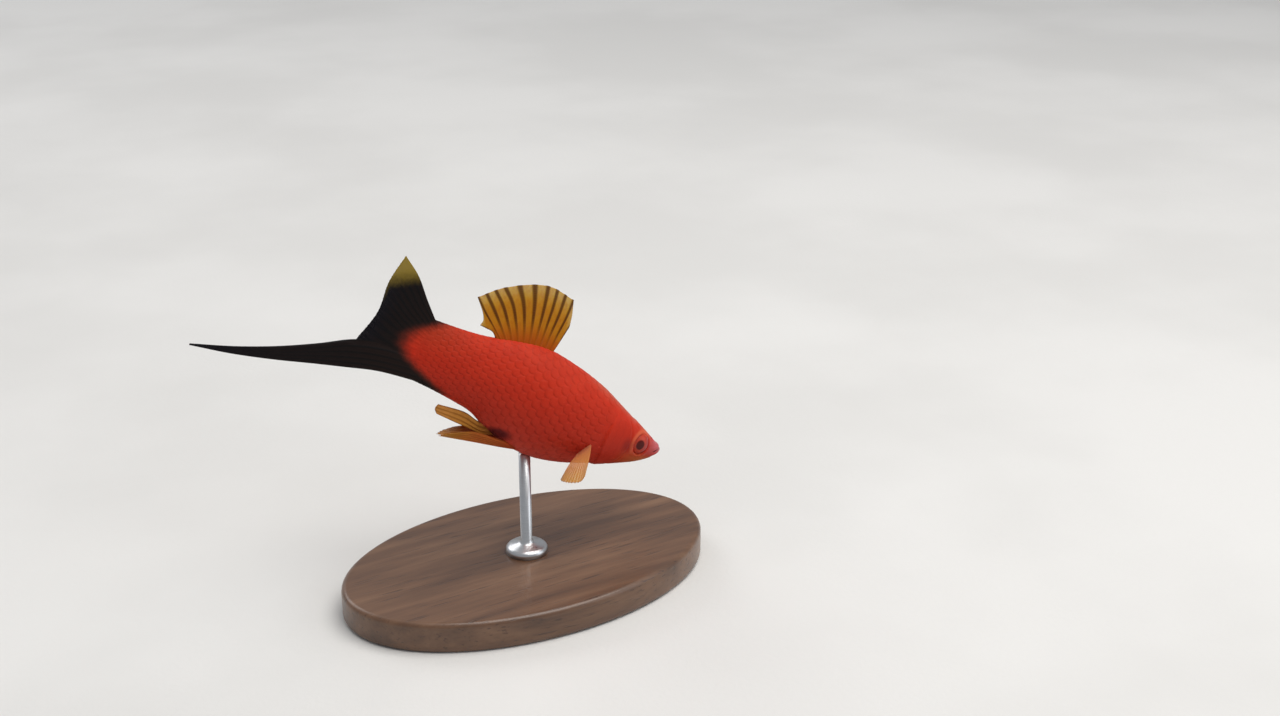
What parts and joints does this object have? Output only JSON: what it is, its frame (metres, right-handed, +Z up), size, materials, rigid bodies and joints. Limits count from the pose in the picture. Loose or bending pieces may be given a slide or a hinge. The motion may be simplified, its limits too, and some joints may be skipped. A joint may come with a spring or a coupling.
{
  "type": "swordtail fish",
  "caption": "Male red swordtail with black tail fin and long sword, swimming head down, held by a rod on an oval display base.",
  "frame": {"origin": "middle of the display base's underside, below the rod", "axes": "+X is the level direction in which the fish heads, +Y is its left side, +Z is up"},
  "size_m": [0.0981, 0.046, 0.0694],
  "materials": {
    "red_skin": "satin scaled skin, bright orange red above and deeper crimson below",
    "pale_red_skin": "satin skin, a little paler and pinker",
    "black_fin": "satin black fin with fine raised rays",
    "amber_fin": "translucent amber membrane with dark raised rays",
    "pale_fin": "translucent pale orange membrane with fine raised rays",
    "dark_eye": "wet gloss, red iris round a dark pupil",
    "stand_wood": "satin stained wood",
    "stand_steel": "brushed"
  },
  "bodies": {
    "root": {"head": "red_skin", "lower_jaw": "pale_red_skin", "trunk": "red_skin", "tail_stalk": "red_skin", "gill_cover_left": "pale_red_skin", "gill_cover_right": "pale_red_skin", "eye_left": "dark_eye", "eye_right": "dark_eye", "dorsal_fin": "amber_fin", "caudal_fin": "black_fin", "sword": "black_fin", "gonopodium": "amber_fin", "pelvic_fin_left": "amber_fin", "pelvic_fin_right": "amber_fin", "pectoral_fin_left": "pale_fin", "pectoral_fin_right": "pale_fin", "stand_base": "stand_wood", "stand_rod": "stand_steel"}
  },
  "joints": []
}
